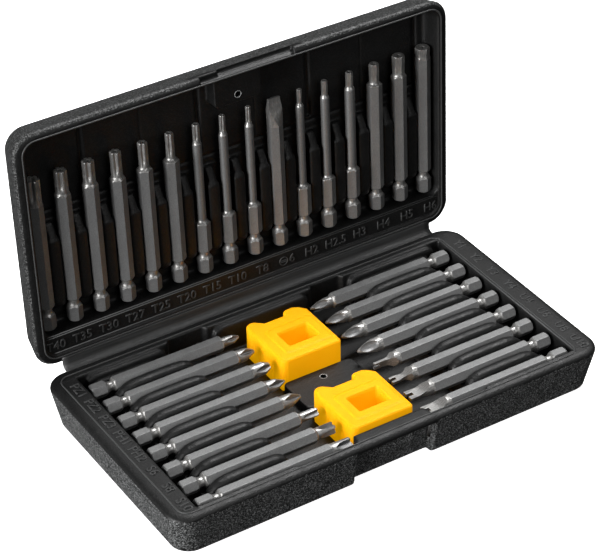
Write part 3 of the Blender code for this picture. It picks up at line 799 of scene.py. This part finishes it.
def base_lines():
    """Thin raised lines along the base's rim."""
    bm = bmesh.new()
    outline = rounded_rectangle(-103.4, 97.0, -54.9, 53.4, 5.0, 8)
    bead(bm, [(x, y, RIM_Z - 0.42) for x, y in outline], 0.36, True)
    bead(bm, [(95.95, y, RIM_Z - 0.5) for y in (-52.5, 49.5)], 0.3)
    bead(bm, [(-46.5, -55.0, RIM_Z - 0.4), (-20.0, -55.0, RIM_Z - 0.4)], 0.3)
    # The rim lines take the lighter plastic: a painted highlight.
    obj = new_object("base_rim_lines", bm, BASE_FRAME, (LIT_RAISED_PLASTIC,))
    obj.data.shade_smooth()
    return obj


def lid_lines():
    bm = bmesh.new()
    outline = rounded_rectangle(-104.6, 104.6, 5.1, 113.4, 6.4, 10)
    bead(bm, [(x, y, -0.5) for x, y in outline], 0.36, True)
    for y, z in ((15.3, -1.55), (16.2, -1.75)):
        bead(bm, [(-102.8, y, z), (102.8, y, z)], 0.24)
    bead(bm, [(-102.6, 7.2, -1.5), (102.6, 7.2, -1.5)], 0.2)
    # The rim lines take the lighter plastic: a painted highlight.
    obj = new_object("lid_rim_lines", bm, LID_FRAME, (LIT_RAISED_PLASTIC,))
    obj.data.shade_smooth()
    return obj


def blow_hole_rings():
    """The raised lips around the two blow holes."""
    made = []
    for part, half, z in (("base", BASE_FRAME, 11.05), ("lid", LID_FRAME, -4.05)):
        bm = bmesh.new()
        bead(bm, [(*point, z) for point in circle(BLOW_HOLES[part], 1.6)], 0.16, True)
        made.append(new_object(f"{part}_hole_ring", bm, half, (BURR,)))
    return made


def hinge_film():
    """The thin web that joins the halves, drawn across the hinge."""
    low, high = node_box("living_hinge", BASE_FRAME)
    hinge = joint_place("lid_hinge") / MM
    spine = ((55.8, -0.95), (57.0, -0.9), (58.0, -0.65), (58.8, -0.3), (59.3, 0.2), (59.6, 0.8),
             (59.75, 1.6), (59.85, 2.6), (60.0, 3.6), (60.3, 4.6))
    thickness = 0.55
    bm = bmesh.new()
    count = 60
    rings = []
    for i in range(count + 1):
        x = low.x + (high.x - low.x) * i / count
        ring = [(x, y, hinge.z + dz) for y, dz in spine]
        ring += [(x, y + thickness * 0.7 + 0.1 * (y - 58), hinge.z + dz - thickness)
                 for y, dz in reversed(spine)]
        rings.append(ring)
    loft(bm, rings)
    obj = new_object("hinge_film", bm, BASE_FRAME, (FILM,))
    obj.data.shade_smooth()
    return obj


# ---------------------------------------------------------------- bits

BIT_LENGTH = 75.0
SHANK_LENGTH = 7.8
GROOVE_END = 12.0
AROUND = 96
GROOVE = (SHANK_LENGTH - 0.3, GROOVE_END - 0.3)
SHORT_HEX_END = 25.3
CORNER_RADIUS = BIT_FLATS / math.sqrt(3)
TURNS = [2 * math.pi * i / AROUND for i in range(AROUND)]


def hexagon(angle, flats, sharpness=200.0):
    """Radius of a hexagon with softened corners; a flat faces +Y."""
    total = 0.0
    for k in range(6):
        c = math.cos(angle - math.radians(30 + 60 * k))
        if c > 0:
            total += c ** sharpness
    return flats / 2 / total ** (1 / sharpness)


FULL_HEX = [hexagon(a, BIT_FLATS) for a in TURNS]


def star(angle, diameter):
    outer = diameter / 2
    wave = (0.5 + 0.5 * math.cos(6 * angle)) ** 0.85
    return outer * (0.70 + 0.30 * wave)


def shank_profile(body_end):
    """Turned radius of the shank and the groove up to the hex body's end."""
    full = CORNER_RADIUS + 0.05
    return [(0.0, full - 1.05), (0.55, full - 0.35), (0.95, full), (SHANK_LENGTH - 0.9, full),
            (SHANK_LENGTH - 0.1, 2.95), (SHANK_LENGTH + 0.6, 2.45), (SHANK_LENGTH + 1.3, 2.28),
            (GROOVE_END - 1.6, 2.28), (GROOVE_END - 1.0, 2.6), (GROOVE_END - 0.75, 3.2),
            (GROOVE_END - 0.2, full), (body_end, full)]


def slim_profile(shaft, shaft_end):
    """Turned radius of a bit with a short hex body and a round shaft."""
    return shank_profile(SHORT_HEX_END) + [(SHORT_HEX_END + 1.0, shaft + 0.35),
                                           (SHORT_HEX_END + 1.8, shaft), (shaft_end, shaft)]


SLIM_EXTRA = ((SHORT_HEX_END - 0.4, SHORT_HEX_END + 2.2),)
SLIM_BRIGHT = (SHORT_HEX_END, SHORT_HEX_END + 1.7)


def stations(body_end, extra=()):
    """Heights of the bit's rings: close together where the shape changes."""
    heights = {0.0, 0.12, 0.3, 0.55, 0.75, 0.95, 1.2, GROOVE_END + 0.4, BIT_LENGTH}
    z = SHANK_LENGTH - 1.2
    while z < GROOVE_END + 0.2:
        heights.add(round(z, 3))
        z += 0.2
    step = 0.28
    for start, end in ((body_end - 0.6, BIT_LENGTH),) + tuple(extra):
        z = start
        while z < end:
            heights.add(round(z, 3))
            z += step
    return sorted(heights)


def star_shape(size, diameter):
    """Hex body, or a short hex and a round shaft, then a six-lobed tip."""
    reach = diameter / 2
    if size >= 20:
        body_end = {40: 62.6, 35: 63.0, 30: 63.0}.get(size, 61.6)
        neck = min(reach + 0.05, 2.95) if size < 40 else 3.3
        turned = shank_profile(body_end) + [(body_end + 0.7, min(neck + 0.5, 3.3)), (body_end + 1.5, neck),
                                            (BIT_LENGTH - 0.35, reach), (BIT_LENGTH, reach - 0.25)]
        start, run = body_end + 1.2, 4.2
        extra = ()
    else:
        body_end, shaft = 65.0, {15: 2.05, 10: 2.0, 8: 1.9}[size]
        turned = slim_profile(shaft, body_end) + [(body_end + 0.35, shaft + 0.02),
                                                  (body_end + 1.0, shaft * 0.86), (body_end + 2.4, reach),
                                                  (BIT_LENGTH - 0.3, reach), (BIT_LENGTH, reach - 0.2)]
        start, run = body_end + 1.6, 2.4
        extra = SLIM_EXTRA

    def radius(i, z):
        r = soft_min(FULL_HEX[i], between(turned, z), 0.16)
        depth = smooth_step((z - start) / run)
        if depth > 0:
            lobes = star(TURNS[i], 2 * min(reach, r) if z < BIT_LENGTH - 0.4 else diameter)
            r = r + (min(r, lobes) - r) * depth
        return r
    bright = (GROOVE, (body_end + (0.0 if size >= 20 else 0.2), BIT_LENGTH))
    if size < 20:
        bright = bright + (SLIM_BRIGHT,)
    return stations(body_end, extra), radius, diameter * 0.16, bright


def hex_shape(flats):
    """Hex body, or a short hex and a round shaft, then a six-sided tip."""
    tip = [hexagon(a, flats) for a in TURNS]
    corner = flats / math.sqrt(3)
    if flats < 4:
        body_end, shaft = 66.4, {2: 1.85, 2.5: 2.05, 3: 2.35}[flats]
        turned = slim_profile(shaft, body_end) + [(body_end + 0.6, shaft * 0.9),
                                                  (body_end + 1.5, corner * 0.98),
                                                  (BIT_LENGTH - 0.3, corner), (BIT_LENGTH, corner - 0.3)]
        start = body_end + 0.9
        extra = SLIM_EXTRA
        bright = (GROOVE, SLIM_BRIGHT, (body_end + 0.2, BIT_LENGTH))
    else:
        body_end = 69.4 if flats == 6 else 64.6
        extra = ()
        neck = corner * 0.97
        turned = shank_profile(body_end) + [(body_end + 0.8, neck + 0.25), (body_end + 1.4, neck),
                                            (BIT_LENGTH - 0.35, corner + 0.02), (BIT_LENGTH, corner - 0.35)]
        start = body_end + 1.0
        bright = (GROOVE, (body_end, BIT_LENGTH))

    def radius(i, z):
        r = soft_min(FULL_HEX[i], between(turned, z), 0.16)
        depth = smooth_step((z - start) / 1.6)
        return r + (min(r, tip[i]) - r) * depth
    return stations(body_end, extra), radius, flats * 0.17, bright


def turned_shape(body_end, tip):
    """Hex body with a turned end of (z, radius) pairs, ready for cutting."""
    turned = shank_profile(body_end) + tip

    def radius(i, z):
        return soft_min(FULL_HEX[i], between(turned, z), 0.16)
    return stations(body_end), radius, 0.0, (GROOVE, (body_end, BIT_LENGTH))


def cross_shape(body_end, outer, blunt):
    """A turned tip that ends in a cone."""
    slope = math.tan(math.radians(27))
    cone_start = BIT_LENGTH - (outer - blunt) / slope
    return turned_shape(body_end, [(body_end + 0.5, 3.35), (body_end + 1.1, outer), (cone_start, outer),
                                   (BIT_LENGTH - 0.15, blunt + 0.08), (BIT_LENGTH, blunt - 0.05)])


def offset_cross_shape(outer):
    body_end = 64.8
    return turned_shape(body_end, [(body_end + 0.5, 3.3), (body_end + 1.2, outer),
                                   (BIT_LENGTH - 0.3, outer), (BIT_LENGTH, outer - 0.3)])


def flutes(start, first, last, turn, curve):
    """Four flutes round a tip. `first` and `last` give each flute's two walls, from the axis."""
    bm = bmesh.new()
    steps = 14
    for k in range(4):
        turned = Matrix.Rotation(turn + k * math.pi / 2, 3, "Z")
        rings = []
        for i in range(steps + 1):
            rest = (1 - i / steps) ** curve
            x, y = (end + (begin - end) * rest for begin, end in zip(first, last))
            z = start + (BIT_LENGTH + 0.5 - start) * i / steps
            rings.append([turned @ Vector(p) for p in ((x, y, z), (7, y, z), (7, 7, z), (x, 7, z))])
        loft(bm, rings)
    return bm


def grind_cross(obj, body_end, outer, blunt, turn):
    wing = 0.30 * blunt + 0.2
    cut(obj, flutes(body_end + 1.3, (outer * 0.74,) * 2, (wing, wing), math.radians(turn), 2.6))


def add_pozi_ribs(obj, body_end, outer, blunt, turn):
    """The four small ribs between a Pozi tip's wings."""
    start = body_end + 2.6
    for k in (0, 1):
        turned = Matrix.Rotation(math.radians(turn + 45 + 90 * k), 3, "Z")
        bm = bmesh.new()
        rings = []
        for z, reach in ((start, outer * 0.7), (BIT_LENGTH - 1.6 * outer + blunt, outer * 0.68),
                         (BIT_LENGTH - 0.2, blunt * 0.72)):
            rings.append([turned @ Vector((x, y, z)) for x, y in (
                (-reach, -0.24), (reach, -0.24), (reach, 0.24), (-reach, 0.24))])
        loft(bm, rings)
        cut(obj, bm, "UNION")


def grind_offset_cross(obj, outer, turn):
    wing = outer * 0.42
    cut(obj, flutes(66.6, (outer * 0.95, outer * 0.7), (wing, 0.06), math.radians(turn), 5.0))


def tri_shape(outer):
    """A turned tip for three hollow-ground faces."""
    return turned_shape(62.9, [(63.4, 3.3), (64.1, outer), (67.0, outer), (BIT_LENGTH - 4.0, outer * 0.76),
                               (BIT_LENGTH - 0.8, outer * 0.30), (BIT_LENGTH, outer * 0.16)])


def ground_pair(curve, turn, span=5.0):
    """Two wedges that grind a bit to the half thickness in `curve`, from both sides."""
    turned = Matrix.Rotation(turn, 3, "Z")
    bm = bmesh.new()
    for side in (-1, 1):
        outline = [(z, side * h) for z, h in curve]
        outline += [(curve[-1][0], side * 6.0), (curve[0][0], side * 6.0)]
        loft(bm, [[turned @ Vector((x, h, z)) for z, h in outline] for x in (-span, span)])
    for face in bm.faces:
        face.material_index = 1
    return bm


def hollow_curve(start, length, thickness, full=3.7, steps=10):
    """Half thickness along a hollow-ground face that starts at the surface."""
    points = [(start + length * i / steps, thickness + (full - thickness) * (1 - i / steps) ** 2)
              for i in range(steps + 1)]
    return points + [(BIT_LENGTH + 1.0, thickness)]


def waist_curve(start, half_width, waist, full=3.7, steps=14):
    """Half width along a fork's blade: it draws in to a waist, then to the prongs' width."""
    points = []
    for i in range(steps + 1):
        t = i / steps
        width = full + (waist - full) * smooth_step(t * 1.8)
        width += (half_width - waist) * smooth_step(t * 2 - 1)
        points.append((start + (BIT_LENGTH - 2.4 - start) * t, width))
    return points + [(BIT_LENGTH + 1.0, half_width)]


TRI_TIPS = {1: 2.5, 2: 2.8, 3: 3.0, 4: 3.2}
FORKS = {4: (1.6, 1.6, 90.0), 6: (2.0, 1.35, 0.0), 8: (2.95, 2.7, 0.0), 10: (3.1, 3.0, 0.0)}


def grind_fork(obj, size):
    half_width, waist, turn = FORKS[size]
    angle = math.radians(turn)
    cut(obj, ground_pair(hollow_curve(63.4, 7.0, 0.62), angle))
    cut(obj, ground_pair(waist_curve(63.0, half_width, waist), angle + math.pi / 2))
    gap = 0.35 + 0.07 * size
    spans = ((-gap, gap), (-5, 5)) if turn == 0 else ((-5, 5), (-gap, gap))
    cut_boxes(obj, (*spans, (BIT_LENGTH - 2.8, BIT_LENGTH + 1)))


def grind_tri(obj, number):
    """Three hollow faces round the tip; each meets the turned tip in a lens."""
    outer = TRI_TIPS[number]
    across, length, depth = outer * 0.85, 5.2 + 0.3 * number, outer * 0.26
    tool = bmesh.new()
    for k in range(3):
        turn = Matrix.Rotation(math.radians(48 + 120 * k), 4, "Z")
        shift = Matrix.Translation((depth + across, 0, BIT_LENGTH - 3.4))
        size = Matrix.Diagonal((across, across * 1.12, length, 1.0))
        bmesh.ops.create_uvsphere(tool, u_segments=40, v_segments=28, radius=1.0,
                                  matrix=turn @ shift @ size)
    cut(obj, tool)


def grind_slot(obj):
    end = BIT_LENGTH + 1.0
    cut(obj, ground_pair([(61.6, 3.75), (73.5, 0.62), (end, 0.45)], math.radians(-30)))
    cut(obj, ground_pair([(63.0, 3.8), (BIT_LENGTH - 1.0, 2.95), (end, 2.95)], math.radians(60)))


POZI_TIPS = {1: (2.3, 0.6, 8), 2: (3.0, 0.95, -6), 3: (3.2, 1.7, 12)}
CROSS_TIPS = {1: (2.9, 0.45, 4), 2: (3.15, 0.7, -10)}
OFFSET_TIPS = {6: (2.2, 25), 8: (2.7, 60), 10: (3.1, 5)}
POZI_BODY = 65.3
CROSS_BODY = 64.3


def bit_shapes():
    """Every bit's ring heights, radius function, end hole and bright stretches, by name."""
    shapes = {}
    for number, (outer, blunt, _) in POZI_TIPS.items():
        shapes[f"bit_pozi_{number}"] = cross_shape(POZI_BODY, outer, blunt)
    for number, (outer, blunt, _) in CROSS_TIPS.items():
        shapes[f"bit_cross_{number}"] = cross_shape(CROSS_BODY, outer, blunt)
    for number, (outer, _) in OFFSET_TIPS.items():
        shapes[f"bit_offset_cross_{number}"] = offset_cross_shape(outer)
    for number, outer in TRI_TIPS.items():
        shapes[f"bit_tri_{number}"] = tri_shape(outer)
    for number in FORKS:
        shapes[f"bit_fork_{number}"] = turned_shape(62.3, [(62.8, 3.45), (63.4, 3.2), (BIT_LENGTH, 3.15)])
    sizes = (6.6, 5.86, 5.52, 4.99, 4.43, 3.86, 3.26, 2.74, 2.31)
    for number, diameter in zip(STAR_SIZES, sizes):
        shapes[f"bit_star_{number}"] = star_shape(number, diameter)
    for name in HEX_SIZES:
        shapes[f"bit_hex_{name}"] = hex_shape(float(name.replace("_", ".")))
    shapes["bit_slot_6"] = turned_shape(61.6, [])
    return shapes


def grind_tip(obj, kind, size):
    """Cut the flutes, faces or prongs of the kinds that are not turned or six-sided."""
    if kind == "pozi":
        outer, blunt, turn = POZI_TIPS[size]
        grind_cross(obj, POZI_BODY, outer, blunt, turn)
        add_pozi_ribs(obj, POZI_BODY, outer, blunt, turn)
    elif kind == "cross":
        grind_cross(obj, CROSS_BODY, *CROSS_TIPS[size])
    elif kind == "offset_cross":
        grind_offset_cross(obj, *OFFSET_TIPS[size])
    elif kind == "fork":
        grind_fork(obj, size)
    elif kind == "tri":
        grind_tri(obj, size)
    elif kind == "slot":
        grind_slot(obj)


def bit_places():
    """Each bit's frame: origin at the shank end, z along the bit, y out of its half."""
    places = {}
    for names, end, side in ((LEFT_BITS, 0, 1), (RIGHT_BITS, 1, -1)):
        for name in names:
            _, y, z = node_middle(name, BASE_FRAME)
            origin = (node_box(name, BASE_FRAME)[end].x, y, z)
            places[name] = (BASE_FRAME, ((0, side, 0), (0, 0, 1), (side, 0, 0)), origin, 0)
    for name in LID_BITS:
        x, _, z = node_middle(name, LID_FRAME)
        origin = (x, node_box(name, LID_FRAME)[0].y, z)
        places[name] = (LID_FRAME, ((-1, 0, 0), (0, 0, 1), (0, 1, 0)), origin, 30)
    return places


def bit_mesh(shape):
    heights, radius, hole, bright = shape
    bm = bmesh.new()
    rows = []
    for z in heights:
        rows.append([bm.verts.new((radius(i, z) * math.cos(a), radius(i, z) * math.sin(a), z))
                     for i, a in enumerate(TURNS)])
    if hole:
        for r, z in ((hole + 0.12, BIT_LENGTH), (hole, BIT_LENGTH - 0.12), (hole, BIT_LENGTH - 2.2)):
            rows.append([bm.verts.new((r * math.cos(a), r * math.sin(a), z)) for a in TURNS])
    spans = [(a.co.z + b.co.z) / 2 for a, b in ((low[0], high[0]) for low, high in zip(rows, rows[1:]))]
    for (low, high), middle in zip(zip(rows, rows[1:]), spans):
        shiny = any(start <= middle <= end for start, end in bright)
        for i in range(AROUND):
            j = (i + 1) % AROUND
            face = bm.faces.new((low[i], low[j], high[j], high[i]))
            face.material_index = 1 if shiny else 0
    for row in (rows[0][::-1], rows[-1]):
        face = bm.faces.new(row)
    return bm


def make_bits():
    places = bit_places()
    for name, shape in bit_shapes().items():
        half, axes, origin, turn = places[name]
        bm = bit_mesh(shape)
        local = Matrix(axes).transposed().to_4x4() @ Matrix.Rotation(math.radians(turn), 4, "Z")
        local.translation = Vector(origin) * MM
        obj = new_object(name.replace("bit_", "driver_"), bm, half @ local, (BLASTED, GROUND))
        kind, _, size = name.removeprefix("bit_").rpartition("_")
        grind_tip(obj, kind, int(size))
        obj.data.shade_smooth()
        obj.data.set_sharp_from_angle(angle=math.radians(38))
        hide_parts(name)
        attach(obj, name)


# ---------------------------------------------------------------- magnetisers

BLOCK_PITCH = 0.28


def block_outline(low, high, inset):
    """A block from above: two horns at the back with a tool rest between them."""
    x0, x1 = low.x + inset, high.x - inset
    y0, y1 = inset, high.y - low.y - inset
    rest = high.y - low.y - 3.5 - inset
    return [(x0, y0 + 2.8), (x0 + 0.3, y0 + 1.5), (x0 + 1.1, y0 + 0.5), (x0 + 2.5, y0),
            (x1 - 1.0, y0), (x1, y0 + 1.0), (x1, y1 - 4.2), (x1 - 2.4, y1 - 1.4),
            (x1 - 4.9, y1), (6.4 + inset, y1), (5.2 + inset, y1 - 0.6),
            (4.6 + inset, y1 - 1.6), (4.2 + inset, rest), (-6.4 - inset, rest), (-8.2, rest + 1.4),
            (-10.2, y1 - 0.3), (-11.8, y1), (x0 + 2.2, y1), (x0 + 0.6, y1 - 1.0), (x0, y1 - 3.0)]


def make_magnetiser(place):
    low, high = magnetiser_box(place)
    body_low = node_box(f"magnetiser_{place}_body", BASE_FRAME)[0].z
    top = high.z
    bm = bmesh.new()
    levels = ((body_low, 0.15), (body_low + 0.6, 0.0), (top - 1.3, 0.0), (top - 0.7, 0.25),
              (top - 0.35, 0.9))
    loft(bm, [[(x, y + low.y, z) for x, y in block_outline(low, high, inset)] for z, inset in levels])
    block = new_object(f"magnetiser_{place}_shell", bm)

    window = (-6.2, 9.0, low.y + 8.8, low.y + 19.0)
    frame_levels = ((top - 3.0, 4.9), (top - 0.5, 4.8), (top - 0.1, 4.3), (top, 3.7))
    add_solids(block, lambda bm: stack(
        bm, [(z, grown_rectangle(window, grow, 2.0, 6)) for z, grow in frame_levels]))

    tool = bmesh.new()
    levels = ((body_low - 1, -0.6), (top - 1.2, 0.0), (top + 1.0, 0.9))
    stack(tool, [(z, grown_rectangle(window, grow, 0.8, 4)) for z, grow in levels])
    remesh = block.modifiers.new("skin", "REMESH")
    remesh.mode = "VOXEL"
    remesh.voxel_size = BLOCK_PITCH * MM
    apply_modifiers(block)
    cut(block, tool)
    tool = bmesh.new()
    for fraction in (0.27, 0.60):
        cylinder(tool, (low.x - 0.35, low.y + fraction * (high.y - low.y)), 0.95, -1.0, top - 7.5)
    cut(block, tool)
    soften(block, BLOCK_PITCH, 2, 150_000)
    block.data.materials.clear()
    block.data.materials.append(YELLOW)
    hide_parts(f"magnetiser_{place}_body")
    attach(block, f"magnetiser_{place}")
    for node, mat in (("cover", YELLOW), ("magnet_left", NICKEL), ("magnet_right", NICKEL)):
        cad = frame["nodes"][f"magnetiser_{place}_{node}"]
        cad.data.materials.clear()
        cad.data.materials.append(mat)


# ---------------------------------------------------------------- stage

CAMERA_AT = Vector((-0.4480, -0.7047, 0.6536))
CAMERA_FORWARD = Vector((0.41740, 0.68396, -0.59831))
CAMERA_ROLL = -1.31
LENS = 144.0
SENSOR = 36.0
SHIFT = (0.018, 0.115)


def make_camera():
    data = bpy.data.cameras.new("camera")
    data.sensor_width = SENSOR
    data.lens = LENS
    data.shift_x, data.shift_y = SHIFT
    data.clip_start = 0.05
    camera = bpy.data.objects.new("camera", data)
    look = CAMERA_FORWARD.to_track_quat("-Z", "Y").to_matrix().to_4x4()
    roll = Matrix.Rotation(math.radians(CAMERA_ROLL), 4, "Z")
    camera.matrix_world = Matrix.Translation(CAMERA_AT) @ look @ roll
    bpy.context.scene.collection.objects.link(camera)
    bpy.context.scene.camera = camera


def area_light(name, at, target, size, power, colour=(1, 1, 1)):
    data = bpy.data.lights.new(name, "AREA")
    data.shape = "DISK"
    data.size = size
    data.energy = power
    data.color = colour
    light = bpy.data.objects.new(name, data)
    light.location = at
    light.rotation_euler = (Vector(target) - Vector(at)).to_track_quat("-Z", "Y").to_euler()
    bpy.context.scene.collection.objects.link(light)


def make_stage():
    bpy.context.scene.view_settings.view_transform = "Standard"
    bm = bmesh.new()
    bmesh.ops.create_circle(bm, cap_ends=True, segments=64, radius=4000.0)
    floor = new_object("floor", bm, Matrix.Translation((0, 0, -0.0004)), (floor_material(),))
    floor.visible_diffuse = False
    floor.visible_glossy = False
    world = bpy.data.worlds.new("studio")
    bpy.context.scene.world = world
    world.use_nodes = True
    nodes, links = world.node_tree.nodes, world.node_tree.links
    place = nodes.new("ShaderNodeTexCoord")
    split = nodes.new("ShaderNodeSeparateXYZ")
    links.new(place.outputs["Generated"], split.inputs[0])
    ramp = nodes.new("ShaderNodeMapRange")
    ramp.interpolation_type = "SMOOTHSTEP"
    for name, value in (("From Min", -0.05), ("From Max", 0.95), ("To Min", 0.92), ("To Max", 1.15)):
        ramp.inputs[name].default_value = value
    links.new(split.outputs["Z"], ramp.inputs["Value"])
    links.new(ramp.outputs["Result"], nodes["Background"].inputs["Strength"])
    area_light("top", (0.57, 0.30, 1.35), (0, 0, 0.02), 0.7, 31.0)
    area_light("key", (-1.72, -0.25, 0.42), (0, 0.0, 0.03), 1.0, 66.0)
    area_light("front", (0.15, -1.25, 1.0), (0, 0, 0.05), 0.7, 6.0)


# ---------------------------------------------------------------- assembly

def finish_half(obj, node, body, test, outer_material):
    dress_half(obj, test, outer_material)
    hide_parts(node)
    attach(obj, body)


def main():
    make_camera()
    make_stage()
    finish_half(make_base(), "case_base", "base", base_is_outer, OUTER)
    finish_half(make_lid(), "case_lid", "lid", lid_is_outer, SHADED_LID_OUTER)
    base_hole, lid_hole = blow_hole_rings()
    for obj, body in ((base_codes(), "base"), (base_lines(), "base"), (base_hole, "base"),
                      (lid_codes(), "lid"), (slot_symbol(), "lid"), (lid_lines(), "lid"),
                      (lid_hole, "lid")):
        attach(obj, body)
    film = hinge_film()
    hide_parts("living_hinge")
    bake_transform(film)
    make_bits()
    for place in ("rear", "front"):
        make_magnetiser(place)


main()
